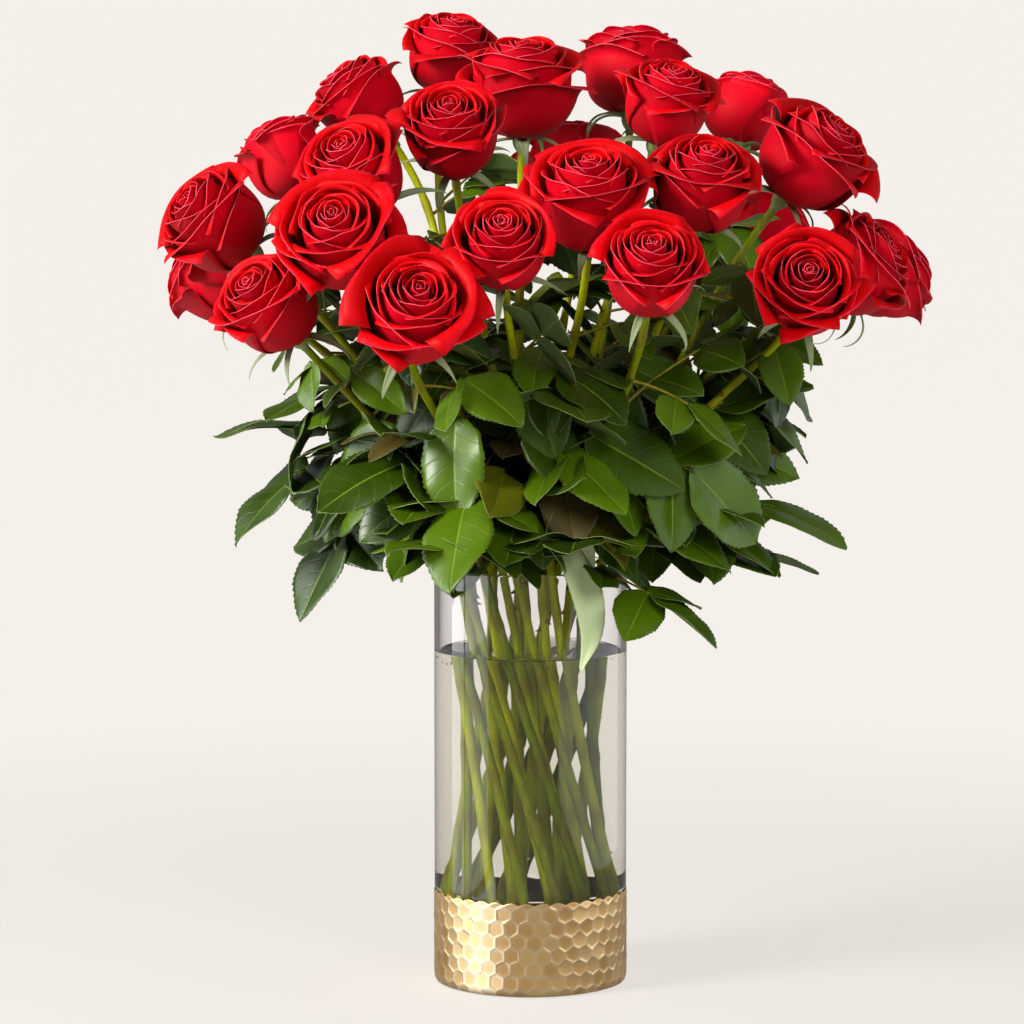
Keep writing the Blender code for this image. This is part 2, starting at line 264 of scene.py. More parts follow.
def leaf_material(name, dark, light, vein, edge, rough, gloss=0.5):
    """A leaf's skin, with its veins. The mesh's lay attribute holds (along, across, chance, kind)."""
    made, tree, shader = shader_of(name, Specular_IOR_Level=gloss)
    along, across, chance, kind = channels(tree, "lay")
    side = maths(tree, "ABSOLUTE", minus(tree, times(tree, across, 2), 1))
    wobble = noise(tree, 160, 2, 0.5, object_point(tree))
    swept = minus(tree, along, times(tree, side, 0.22))
    swept = plus(tree, swept, times(tree, wobble, 0.05))
    wave = maths(tree, "ABSOLUTE", maths(tree, "SINE", times(tree, swept, 21.0)))
    side_veins = minus(tree, 1, maths(tree, "MINIMUM", times(tree, wave, 5.0), 1))
    midrib = minus(tree, 1, maths(tree, "MINIMUM", times(tree, side, 24.0), 1))
    rim = maths(tree, "MAXIMUM", minus(tree, times(tree, side, 12.0), 11.1), 0.0)
    broad = noise(tree, 38, 3, 0.55, object_point(tree))
    tone = plus(tree, times(tree, chance, 0.75), times(tree, broad, 0.35))
    colour = ramp(tree, tone, (0.1, dark), (0.95, light))
    colour = blend(tree, times(tree, side_veins, 0.09), colour, vein)
    colour = blend(tree, times(tree, midrib, 0.75), colour, vein)
    colour = blend(tree, times(tree, rim, 0.5), colour, edge)
    young = maths(tree, "GREATER_THAN", kind, 0.75)
    olive = times(tree, maths(tree, "GREATER_THAN", kind, 0.4), maths(tree, "LESS_THAN", kind, 0.6))
    colour = blend(tree, times(tree, young, 0.72), colour, (0.075, 0.022, 0.014))
    colour = blend(tree, times(tree, olive, 0.6), colour, (0.13, 0.115, 0.004))
    tree.links.new(colour, shader.inputs["Base Color"])
    tree.links.new(plus(tree, rough, times(tree, broad, 0.32)), shader.inputs["Roughness"])
    raised = maths(tree, "MAXIMUM", side_veins, midrib)
    relief = minus(tree, times(tree, wobble, 0.25), raised)
    bump(tree, shader, relief, 0.3, 0.4 * MM)
    return made


def stem_material():
    """Green stem skin, brown round its joints. The lay attribute holds (brownness, -, chance, -)."""
    made, tree, shader = shader_of("rose_stem", Specular_IOR_Level=0.12)
    brown, _, chance, _ = channels(tree, "lay")
    place = object_point(tree)
    long_grain = node(tree, "ShaderNodeMapping", place)
    long_grain.inputs["Scale"].default_value = (1, 1, 0.12)
    grain = noise(tree, 420, 3, 0.6, long_grain.outputs[0])
    patches = noise(tree, 55, 3, 0.6, place)
    tone = plus(tree, times(tree, chance, 0.6), times(tree, grain, 0.4))
    green = ramp(tree, tone, (0.12, (0.085, 0.145, 0.0)), (0.9, (0.60, 0.66, 0.004)))
    rust = ramp(tree, grain, (0.2, (0.10, 0.035, 0.010)), (0.8, (0.26, 0.12, 0.035)))
    amount = times(tree, brown, plus(tree, 0.35, patches))
    colour = blend(tree, node(tree, "ShaderNodeClamp", amount).outputs[0], green, rust)
    tree.links.new(colour, shader.inputs["Base Color"])
    tree.links.new(plus(tree, 0.32, times(tree, grain, 0.25)), shader.inputs["Roughness"])
    bump(tree, shader, grain, 0.25, 0.3 * MM)
    return made


def glass_material():
    made, tree, shader = shader_of("vase_clear_glass", Transmission_Weight=1.0, IOR=1.47)
    streaks = noise(tree, 14, 2, 0.5, object_point(tree))
    colour = ramp(tree, streaks, (0.2, (0.960, 0.935, 0.948)), (0.8, (0.985, 0.970, 0.975)))
    tree.links.new(colour, shader.inputs["Base Color"])
    tree.links.new(times(tree, streaks, 0.004), shader.inputs["Roughness"])
    return made


def water_material():
    made, tree, shader = shader_of("vase_water", Transmission_Weight=1.0, IOR=1.333, Specular_IOR_Level=0.1)
    cloud = noise(tree, 20, 2, 0.5, object_point(tree))
    colour = ramp(tree, cloud, (0.2, (0.88, 0.895, 0.77)), (0.8, (0.93, 0.94, 0.83)))
    tree.links.new(colour, shader.inputs["Base Color"])
    tree.links.new(times(tree, cloud, 0.002), shader.inputs["Roughness"])
    return made


def gold_material():
    """Brushed gold leaf with a painted glint on its cells' rims. The lay attribute holds (rim of its cell, -,
    chance of its cell, -).
    """
    made, tree, shader = shader_of("hammered_gold", Metallic=1.0)
    depth, _, chance, _ = channels(tree, "lay")
    place = object_point(tree)
    brushed = node(tree, "ShaderNodeMapping", place)
    brushed.inputs["Scale"].default_value = (1, 1, 7)
    fine = noise(tree, 260, 3, 0.7, brushed.outputs[0])
    broad = noise(tree, 30, 3, 0.6, place)
    tone = plus(tree, times(tree, chance, 0.45), times(tree, broad, 0.55))
    shades = ((0.15, (0.68, 0.38, 0.13)), (0.55, (0.87, 0.54, 0.21)), (0.95, (0.97, 0.70, 0.34)))
    colour = ramp(tree, tone, *shades)
    # Painted glint: the raised rims between cells are paled toward a light gold.
    colour = blend(tree, times(tree, depth, 0.35), colour, (1.0, 0.86, 0.60))
    tree.links.new(colour, shader.inputs["Base Color"])
    tree.links.new(plus(tree, 0.24, times(tree, fine, 0.22)), shader.inputs["Roughness"])
    bump(tree, shader, fine, 0.3, 0.15 * MM)
    return made


# ---------------------------------------------------------------- mesh building


class Sheets:
    """Grids of points gathered into one mesh, with a lay attribute of four numbers at each point."""

    def __init__(self):
        self.points, self.lay, self.faces = [], [], []
        self.count = 0

    def grid(self, points, lay, wrap=False):
        """A grid of rows by columns. With wrap, its last column joins its first."""
        rows, columns = points.shape[:2]
        index = self.count + np.arange(rows * columns).reshape(rows, columns)
        if wrap:
            index = np.hstack([index, index[:, :1]])
        quads = np.stack([index[:-1, :-1], index[:-1, 1:], index[1:, 1:], index[1:, :-1]], axis=-1)
        self.faces.append(quads.reshape(-1, 4))
        self.points.append(points.reshape(-1, 3))
        self.lay.append(np.broadcast_to(lay, (rows, columns, 4)).reshape(-1, 4))
        self.count += rows * columns

    def build(self, name, *finishes, thickness=0.0):
        """The object. With a thickness, undersides take the second finish and edges the last."""
        mesh = bpy.data.meshes.new(name)
        points, faces = np.vstack(self.points), np.vstack(self.faces)
        mesh.from_pydata(points, [], faces.tolist())
        layer = mesh.attributes.new("lay", "FLOAT_COLOR", "POINT")
        layer.data.foreach_set("color", np.vstack(self.lay).astype(np.float32).ravel())
        for finish in finishes:
            mesh.materials.append(finish)
        mesh.shade_smooth()
        made = bpy.data.objects.new(name, mesh)
        bpy.context.scene.collection.objects.link(made)
        if thickness:
            solid = made.modifiers.new("thickness", "SOLIDIFY")
            solid.thickness = thickness
            solid.offset = -1
            solid.material_offset = min(1, len(finishes) - 1)
            solid.material_offset_rim = len(finishes) - 1
        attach(made, BODY)
        return made


def frame_of(axis, turn=0.0):
    """Two unit vectors square to an axis and to each other, turned round it."""
    helper = np.array([0, 0, 1.0]) if abs(axis[2]) < 0.95 else np.array([0, 1.0, 0])
    side = unit(np.cross(helper, axis))
    other = np.cross(axis, side)
    return side * math.cos(turn) + other * math.sin(turn), other * math.cos(turn) - side * math.sin(turn)


def tube(sheets, line, radii, lay, sides):
    """A round tube along a line of points."""
    along = np.gradient(line, axis=0)
    along /= np.linalg.norm(along, axis=1)[:, None]
    side, _ = frame_of(along[0])
    rings = []
    turns = np.linspace(0, 2 * math.pi, sides, endpoint=False)
    for point, tangent, radius in zip(line, along, radii):
        side = unit(side - tangent * side.dot(tangent))
        other = np.cross(tangent, side)
        rings.append(point + radius * (np.outer(np.cos(turns), side) + np.outer(np.sin(turns), other)))
    sheets.grid(np.array(rings), lay, wrap=True)


# ---------------------------------------------------------------- blooms


PETAL_COLUMNS = 15
BODY_ROWS = 12
ROLL_ROWS = 7
PETAL_THICKNESS = 0.45 * MM
SEPAL_THICKNESS = 0.4 * MM
# Up to this petal each turns by the golden angle from the one before, and by two fifths of a turn after it
SPIRAL_PETALS = 20
OUTER_TURN = math.radians(144)
CORE_PETALS = 12


def petal_shape(rng, mid, lip, top, width, roll, rim, point, wrap, sharp, flat):
    """One petal round the +Z axis, for a bloom of diameter 1, as rows by columns of points.

    mid and lip are its radii at its waist and lip, top is its lip's height, roll and rim are the angle and the
    radius of its rolled lip, and point says how far its lip falls away on each side of its tip. A low sharp
    makes the tip pointed, and flat opens the petal's sides out from a round cup.
    """
    across = np.linspace(-1, 1, PETAL_COLUMNS)
    away = np.abs(across)
    knots = np.array([(0.035, 0.02), (mid * 1.08 + 0.02, 0.03), (mid * 1.10, top * 0.60), (lip, top)])
    reach = 1 - point * away**sharp
    t = np.linspace(0, 1, BODY_ROWS)[:, None] * reach[None]
    curve = (
        (1 - t)[..., None] ** 3 * knots[0]
        + 3 * (t * (1 - t) ** 2)[..., None] * knots[1]
        + 3 * (t**2 * (1 - t))[..., None] * knots[2]
        + t[..., None] ** 3 * knots[3]
    )
    ends = curve[-1] - curve[-2]
    heading = np.arctan2(ends[:, 0], ends[:, 1])
    turn = roll * (0.72 + 0.5 * away**2)
    at = curve[-1]
    rolled = []
    for k in range(1, ROLL_ROWS + 1):
        angle = heading + turn * (k - 0.5) / ROLL_ROWS
        step = (rim * turn / ROLL_ROWS + 0.0015)[:, None]
        at = at + step * np.stack([np.sin(angle), np.cos(angle)], axis=1)
        rolled.append(at)
    curve = np.concatenate([curve, np.array(rolled)])
    rows = len(curve)
    share = np.linspace(0, 1, rows)
    spread = width * (0.22 + 0.78 * np.sin(np.clip(share * 1.3, 0, 1) * math.pi / 2) ** 1.3)
    centre = np.maximum(curve[:, PETAL_COLUMNS // 2, 0], 0.02)
    fan = np.clip(spread / centre, 0, wrap)
    turns = across[None] * fan[:, None]
    radius, height = curve[..., 0].copy(), curve[..., 1].copy()
    radius *= 1 + flat * (1 / np.cos(np.clip(0.62 * turns, -1.1, 1.1)) - 1) * share[:, None] ** 0.7
    late = share[:, None] ** 3
    wave = np.sin(across[None] * rng.uniform(2.5, 5) + rng.uniform(0, 6)) * late
    flutter = np.sin(across[None] * rng.uniform(7, 11) + rng.uniform(0, 6)) * late
    radius += wave * 0.016 * (mid > 0.2) + flutter * 0.004
    height += 0.010 * np.sin(across[None] * rng.uniform(3, 6) + rng.uniform(0, 6)) * late
    return np.stack([radius * np.cos(turns), radius * np.sin(turns), height], axis=-1)


def whorls(opened):
    """petal_shape's settings for each petal from the heart outwards. opened goes from 0 to 1."""
    rows = []
    for s in np.linspace(0, 1, 5):
        rows.append((0.035 + 0.055 * s, 0.012 + 0.045 * s, 0.83 + 0.015 * s, 0.11 + 0.05 * s,
                     0.2 + 0.4 * s, 0.006, 0.06, 2.5 - 0.5 * s, 1.9, 0.0))
    for s in np.linspace(0, 1, 9):
        rows.append((0.11 + 0.135 * s, 0.078 + (0.125 + 0.06 * opened) * s, 0.845 - 0.03 * s, 0.20 + 0.13 * s,
                     0.9 + 0.6 * s, 0.009 + 0.009 * s, 0.06 + 0.02 * s, 1.9 - 0.4 * s, 1.9, 0.08 + 0.12 * s))
    for s in np.linspace(0, 1, 7):
        rows.append((0.265 + 0.085 * s, 0.25 + (0.09 + 0.07 * opened) * s, 0.80 - (0.06 + 0.07 * opened) * s,
                     0.36 + 0.08 * s, 1.45 + 0.25 * s, 0.022 + 0.020 * s, 0.085 + 0.04 * s, 1.5, 1.8,
                     0.20 + 0.12 * s))
    for s in np.linspace(0, 1, 5):
        rows.append((0.365 + 0.03 * s, 0.39 + (0.015 + 0.06 * opened) * s, 0.67 - (0.05 + 0.15 * opened) * s,
                     0.50 + 0.05 * s, 1.25 + 0.75 * opened, 0.060 + 0.03 * opened + 0.012 * s,
                     0.10 + 0.05 * s, 1.45, 2.0, 0.26 + 0.12 * s))
    return rows


def build_bloom(rose, opened, finishes):
    """One bloom of spiralling petals in the place of its CAD solid."""
    rng = random.Random(700 + rose.number)
    sheets = Sheets()
    side, other = frame_of(rose.axis, rng.uniform(0, 6.28))
    turn = 0.0
    for k, (mid, lip, top, width, roll, rim, point, wrap, sharp, flat) in enumerate(whorls(opened)):
        jitter = 1 + rng.uniform(-0.04, 0.04)
        shape = petal_shape(
            rng, mid * jitter, lip * jitter, top + rng.uniform(-0.014, 0.014),
            width * rng.uniform(0.92, 1.08), roll * rng.uniform(0.75, 1.25), rim * rng.uniform(0.8, 1.25),
            point * rng.uniform(0.75, 1.25), wrap, sharp, flat
        )
        turn += (GOLDEN_TURN if k < SPIRAL_PETALS else OUTER_TURN) + rng.uniform(-0.18, 0.18)
        lean = rng.uniform(-0.02, 0.02) * (k > CORE_PETALS)
        x = shape[..., 0] * math.cos(turn) - shape[..., 1] * math.sin(turn) + lean * shape[..., 2]
        y = shape[..., 0] * math.sin(turn) + shape[..., 1] * math.cos(turn)
        spread = x[..., None] * side + y[..., None] * other + shape[..., 2:] * rose.axis
        world = rose.base + rose.size * spread
        count = shape.shape[0]
        lay = np.empty((count, PETAL_COLUMNS, 4))
        lay[..., 0] = np.linspace(0, 1, count)[:, None]
        lay[..., 1] = np.linspace(0, 1, PETAL_COLUMNS)[None]
        lay[..., 2], lay[..., 3] = rng.random(), 0
        sheets.grid(world[::-1], lay[::-1])
    made = sheets.build(f"bloom_{rose.number:02d}", *finishes, thickness=PETAL_THICKNESS)
    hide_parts(f"rose_{rose.number:02d}_bloom")


def build_calyx(rose, finishes):
    """The swollen hip under a bloom, and its five long sepals, which curl down."""
    rng = random.Random(900 + rose.number)
    sheets = Sheets()
    side, other = frame_of(rose.axis, rng.uniform(0, 6.28))
    size = rose.size
    turns = np.linspace(0, 2 * math.pi, 20, endpoint=False)
    profile = [(2.6, -12), (3.0, -9), (4.6, -6.5), (5.6, -4), (5.8, -2), (6.3, 0), (8.5, 1.6), (10.5, 3.2)]
    circle = np.outer(np.cos(turns), side) + np.outer(np.sin(turns), other)
    rings = [rose.base + MM * (z * rose.axis + r * circle) for r, z in profile]
    sheets.grid(np.array(rings), (0.3, 0.5, rng.random(), 0), wrap=True)
    for k in range(5):
        turn = 2 * math.pi * k / 5 + rng.uniform(-0.2, 0.2)
        length = size * rng.uniform(0.46, 0.66)
        rows = 16
        start, bend = rng.uniform(1.25, 1.6), rng.uniform(0.9, 2.3)
        angle, r, z = start, 0.085 * size, -0.01 * size
        outward = math.cos(turn) * side + math.sin(turn) * other
        sideways = math.cos(turn) * other - math.sin(turn) * side
        points = np.empty((rows, 5, 3))
        twist = rng.uniform(-0.5, 0.5)
        for j in range(rows):
            s = j / (rows - 1)
            half = size * 0.062 * (1 - s) ** 0.75 * (0.55 + 0.9 * s * (1 - s) * 2)
            for i, a in enumerate((-1, -0.5, 0, 0.5, 1)):
                cup = 0.35 * half * a * a
                offset = a * half
                spot = r * outward + (z + cup) * rose.axis + offset * (sideways + twist * s * rose.axis)
                points[j, i] = rose.base + spot
            step = length / (rows - 1)
            r += step * math.sin(angle)
            z += step * math.cos(angle)
            angle += bend * (0.4 + 1.6 * s) / (rows - 1)
        lay = np.empty((rows, 5, 4))
        lay[..., 0] = np.linspace(0, 1, rows)[:, None]
        lay[..., 1] = np.linspace(0, 1, 5)[None]
        lay[..., 2], lay[..., 3] = rng.random(), 0
        sheets.grid(points, lay)
    made = sheets.build(f"calyx_{rose.number:02d}", *finishes, thickness=SEPAL_THICKNESS)


# ---------------------------------------------------------------- stems


STEM_SIDES = 12
NODE_SPACING = 47


def build_stem(rose, joints, finish):
    """A stem on its CAD centreline, swollen and brown where leaves join it, with thorns."""
    rng = random.Random(300 + rose.number)
    sheets = Sheets()
    line = rose.line
    along = lengths_along(line)
    old_joints = np.arange(50, 1000 * along[-1], NODE_SPACING) * MM + rng.uniform(-8, 8) * MM
    brown, swell = np.zeros(len(line)), np.zeros(len(line))
    for joint in [*joints, *old_joints]:
        away = np.abs(along - joint)
        brown = np.maximum(brown, np.exp(-((away / (9 * MM)) ** 2)))
        swell = np.maximum(swell, np.exp(-((away / (3.5 * MM)) ** 2)))
    taper = np.linspace(3.0, 2.45, len(line)) * MM
    lay = np.zeros((len(line), STEM_SIDES, 4))
    lay[..., 0] = (0.03 + 0.5 * brown)[:, None]
    lay[..., 2] = rng.random()
    tube(sheets, line, taper + 0.55 * MM * swell, lay, STEM_SIDES)
    for end in (0, -1):
        ring = sheets.points[0].reshape(len(line), STEM_SIDES, 3)[end]
        cap = np.stack([ring, np.broadcast_to(ring.mean(axis=0), ring.shape)])
        sheets.grid(cap if end == 0 else cap[::-1], (0.6, 0.5, 0.5, 0), wrap=True)
    for _ in range(rng.randint(4, 7)):
        place = rng.uniform(0.45, 0.85) * along[-1]
        k = int(np.searchsorted(along, place))
        tangent = unit(line[k] - line[k - 1])
        out, _ = frame_of(tangent, rng.uniform(0, 6.28))
        tip = line[k] + out * 6.6 * MM - tangent * 2.0 * MM
        root = line[k] + out * 2.2 * MM
        thorn = np.array([root + (tip - root) * s for s in (0, 0.35, 0.7, 1)])
        tube(sheets, thorn, np.array([1.9, 1.0, 0.45, 0.08]) * MM, (0.9, 0.5, rng.random(), 0), sides=6)
    made = sheets.build(f"stem_{rose.number:02d}", finish)
    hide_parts(f"rose_{rose.number:02d}_stem")


# ---------------------------------------------------------------- leaves


TEETH = 19
LEAF_THICKNESS = 0.35 * MM
STALK_SIDES = 6
STALK_POINTS = 12


def leaflet(sheets, rng, root, along, normal, length, width, chance, kind):
    """One serrated leaflet, folded along its midrib, drooping to its tip."""
    rows = 2 * TEETH + 1
    s = np.linspace(0, 1, rows)
    stations = (0, 0.05, 0.2, 0.42, 0.65, 0.85, 0.95, 1)
    outline = np.interp(s, stations, (0.03, 0.38, 0.84, 1.0, 0.89, 0.52, 0.22, 0.02))
    across = np.array([-1, -0.86, -0.5, -0.08, 0, 0.08, 0.5, 0.86, 1])
    fold = rng.uniform(0.04, 0.24)
    droop, twist = rng.uniform(0.10, 0.55), rng.uniform(-0.3, 0.3)
    wavy, phase = rng.uniform(0.01, 0.035), rng.uniform(0, 6)
    sideways = np.cross(normal, along)
    tooth = np.where(np.arange(rows) % 2, 1.0, 0.0) * (s > 0.04) * (s < 0.97)
    points = np.empty((rows, len(across), 3))
    for i, a in enumerate(across):
        edge = abs(a) == 1
        half = width / 2 * outline
        u = a * half * (1 + (0.045 * tooth if edge else 0))
        v = s * length + (edge * tooth * 0.5 * length / rows)
        v = v - 0.06 * length * abs(a) * (1 - s)
        lift = fold * np.abs(u) - droop * length * (s**2) * 0.45 + twist * u * s
        lift = lift + wavy * length * np.sin(9 * s + phase + 2.0 * a) * abs(a)
        crown = 0.10 * width * np.sin(np.abs(a) * math.pi) * outline * 0.35
        points[:, i] = (
            root + v[:, None] * along + u[:, None] * sideways + (lift + crown)[:, None] * normal
        )
    lay = np.empty((rows, len(across), 4))
    lay[..., 0] = s[:, None]
    lay[..., 1] = (across[None] + 1) / 2
    lay[..., 2], lay[..., 3] = chance, kind
    sheets.grid(points[:, ::-1], lay[:, ::-1])


def stalk_length(pairs, size):
    return (26 + 28 * pairs) * MM * size


def pair_place(pair, pairs):
    """Where a pair of leaflets stands, as a share of its stalk."""
    return 0.93 - 0.50 * pair if pairs > 1 else 0.72


def compound_leaf(sheets, stalks, rng, root, along, normal, size, pairs, kind, hang=1.0):
    """A rose leaf: a thin stalk with its leaflets in pairs and one at its end."""
    stalk = stalk_length(pairs, size)
    sag = rng.uniform(0.3, 1.0)
    line = []
    for s in np.linspace(0, 1, STALK_POINTS):
        line.append(root + along * stalk * s - normal * sag * stalk * 0.22 * s * s)
    line = np.array(line)
    tube(stalks, line, np.linspace(1.15, 0.6, STALK_POINTS) * MM, (0.75, 0.5, rng.random(), 0), STALK_SIDES)
    side = np.cross(normal, along)
    heading = unit(line[-1] - line[-2])
    up = unit(normal - heading * normal.dot(heading))
    chance = rng.random()

    def shade():
        return min(1, max(0, chance + rng.uniform(-0.2, 0.2)))

    pitch = hang * rng.uniform(0.0, 1.0)
    out = heading * math.cos(pitch) - up * math.sin(pitch)
    face = up * math.cos(pitch) + heading * math.sin(pitch)
    length = rng.uniform(58, 72) * MM * size
    width = rng.uniform(42, 51) * MM * size
    leaflet(sheets, rng, line[-1], out, face, length, width, shade(), kind)
    last = STALK_POINTS - 1
    for pair in range(pairs):
        k = pair_place(pair, pairs) * last
        at = line[int(k)] + (line[min(last, int(k) + 1)] - line[int(k)]) * (k - int(k))
        for hand in (-1, 1):
            splay = math.radians(rng.uniform(52, 76)) * hand
            out = heading * math.cos(splay) + side * math.sin(splay)
            tilt = rng.uniform(-0.25 - 0.75 * hang, 0.2)
            out = unit(out + up * tilt)
            face = unit(up - out * up.dot(out) + side * hand * rng.uniform(-0.3, 0.3))
            face = unit(face - out * face.dot(out))
            length = (rng.uniform(47, 58) - 8 * pair) * MM * size
            width = length * rng.uniform(0.64, 0.74)
            leaflet(sheets, rng, at + out * 2 * MM, out, face, length, width, shade(), kind)


def cad_leaf(number):
    """Where the CAD has one of its compound leaves: its root, its direction, its upper side and its size."""
    points = corners_of(f"leaf_{number:02d}")
    gaps = np.linalg.norm(points[:, None] - points[None], axis=2)
    a, b = np.unravel_index(gaps.argmax(), gaps.shape)
    near = [min(np.linalg.norm(rose.line - points[k], axis=1).min() for rose in ROSES) for k in (a, b)]
    root, tip = (points[a], points[b]) if near[0] < near[1] else (points[b], points[a])
    along = unit(tip - root)
    centred = points - points.mean(axis=0)
    _, _, axes = np.linalg.svd(centred - np.outer(centred @ along, along), full_matrices=False)
    normal = unit(np.cross(along, axes[0]))
    return root, along, normal if normal[2] > 0 else -normal, float(gaps.max() / 0.152)


class Room:
    """What leaves keep clear of: blooms, stems, the vase and each other."""

    def __init__(self):
        self.stems = np.vstack([rose.line[30:] for rose in ROSES])
        self.leaves = np.empty((0, 3))

    def cost(self, spots):
        """How badly a leaf over these spots would crowd what is there, hang in the glass or stand out."""
        total = 0.0
        for rose in ROSES:
            depth = 0.50 * rose.size - np.linalg.norm(spots - rose.heart, axis=1)
            total += 60 * np.clip(depth, 0, None).sum() / MM
        away = np.linalg.norm(spots[:, None] - self.stems[None], axis=2).min(axis=1)
        total += 4 * np.clip(7 * MM - away, 0, None).sum() / MM
        if len(self.leaves):
            away = np.linalg.norm(spots[:, None] - self.leaves[None], axis=2).min(axis=1)
            total += 3 * np.clip(11 * MM - away, 0, None).sum() / MM
        reach = np.hypot(spots[:, 0], spots[:, 1])
        in_glass = (spots[:, 2] < RIM_Z + 4 * MM) & (reach > VASE_R - 12 * MM) & (reach < VASE_R + 10 * MM)
        low = np.clip(RIM_Z + 20 * MM - spots[:, 2], 0, None).sum() / MM
        wide = np.clip(np.hypot(spots[:, 0] - 8 * MM, spots[:, 1]) - 178 * MM, 0, None).sum() / MM
        return total + 40 * in_glass.sum() + 7 * low + 3 * wide

    def take(self, spots):
        self.leaves = np.vstack([self.leaves, spots])


def leaf_spots(root, along, normal, size, pairs):
    """Points spread over a compound leaf, for the room that it takes."""
    stalk = stalk_length(pairs, size)
    side = np.cross(normal, along)
    spots = [
        root + along * (stalk + 0.9 * d * MM * size) - normal * (6 + 0.5 * d) * MM
        for d in (5, 22, 40, 58)
    ]
    for pair in range(pairs):
        place = pair_place(pair, pairs)
        for hand in (-1, 1):
            spots += [
                root + along * (stalk * place + d * 0.45 * MM) + (side * hand - 0.3 * normal) * d * MM * size
                for d in (12, 26, 40)
            ]
    return np.array(spots)


# Tiers of single leaflets round the front of the bunch: how high over the vase's mouth they start and how far
# from its axis, both as shares of the vase's radius, how many there are, and how long they are in millimetres
FRONT_TIERS = ((2.05, 1.45, 7, 58), (1.55, 1.75, 8, 58), (1.05, 1.75, 8, 54), (0.6, 1.4, 7, 46))
FRONT_SPREAD = math.radians(190)
FRONT_TRIES = 12


def front_leaflet(rng, tier, share):
    """One try at a leaflet of a tier: its root, its direction, its upper side, and its length and width."""
    height, reach, _, length = tier
    turn = -math.pi / 2 + FRONT_SPREAD * (share - 0.5) + rng.uniform(-0.14, 0.14)
    outward = np.array([math.cos(turn), math.sin(turn), 0])
    sideways = np.array([-math.sin(turn), math.cos(turn), 0])
    root = outward * VASE_R * reach * rng.uniform(0.85, 1.05)
    root = root + [0, 0, RIM_Z + VASE_R * (height + rng.uniform(-0.15, 0.15))]
    lean = 0.9 * math.cos(turn) + rng.uniform(-0.5, 0.5)
    along = unit(0.35 * outward + lean * sideways - [0, 0, rng.uniform(0.3, 0.9)])
    face = outward + [0, 0, rng.uniform(0.1, 0.5)]
    face = unit(face - along * face.dot(along))
    length = length * MM * rng.uniform(0.85, 1.15)
    return root, along, face, length, length * rng.uniform(0.6, 0.74)


def place_leaves(room, finishes, stem_finish):
    """The leaflets of FRONT_TIERS, each where it crowds the rest least, on a stalk from the nearest stem."""
    rng = random.Random(5000)
    sheets, stalks = Sheets(), Sheets()
    above = np.vstack([rose.line[rose.line[:, 2] > RIM_Z + 4 * MM] for rose in ROSES])
    for number, tier in enumerate(FRONT_TIERS):
        count = tier[2]
        for k in range(count):
            share = (k + 0.25 + 0.5 * (number % 2)) / count
            best = None
            for _ in range(FRONT_TRIES):
                root, along, face, length, width = front_leaflet(rng, tier, share)
                spots = root + along * np.linspace(0.1, 1.0, 5)[:, None] * length
                side = np.cross(face, along)
                spots = np.vstack([spots, spots[1:4] + side * width / 3, spots[1:4] - side * width / 3])
                cost = room.cost(spots)
                if best is None or cost < best[0]:
                    best = (cost, root, along, face, length, width, spots)
            _, root, along, face, length, width, spots = best
            room.take(spots)
            kind = rng.choices((GREEN, OLIVE, YOUNG), (0.90, 0.07, 0.03))[0]
            leaflet(sheets, rng, root, along, face, length, width, rng.uniform(0.1, 0.85), kind)
            joint = above[np.linalg.norm(above - root - [0, 0, -12 * MM], axis=1).argmin()]
            reach = np.linalg.norm(root - joint)
            s = np.linspace(0, 1, STALK_POINTS)[:, None]
            arch = joint + (root - joint) * s + np.array([0, 0, 0.12]) * reach * np.sin(math.pi * s)
            radii = np.linspace(1.2, 0.7, STALK_POINTS) * MM
            tube(stalks, arch, radii, (0.5, 0.5, rng.random(), 0), STALK_SIDES)
    sheets.build("leaves_in_front", *finishes, thickness=LEAF_THICKNESS)
    stalks.build("stalks_in_front", stem_finish)


# Long leaves that hang over the vase's rim: points (right, back, up, half width) in millimetres from the centre
# of its mouth, then how far the blade turns along its length in degrees, and how light it is, or 0 if it's dark
HANGING = (
    (
        ((4, -44, 40, 0.5), (12, -60, 34, 5), (24, -69, 14, 10), (35, -73, -12, 10.5), (38, -75, -36, 7),
         (31, -77, -60, 0.3)),
        42,
        0.85,
    ),
    (
        ((-14, -50, 52, 0.5), (4, -62, 54, 6), (20, -70, 44, 8), (33, -73, 26, 7), (40, -74, 6, 0.3)),
        -60,
        0.95,
    ),
    (
        ((44, -42, 16, 0.5), (54, -54, 9, 5), (64, -60, 2, 6.5), (72, -60, -6, 4), (78, -58, -15, 0.3)),
        15,
        0.0,
    ),
)
BLADE_ROWS = 40
BLADE_COLUMNS = 9


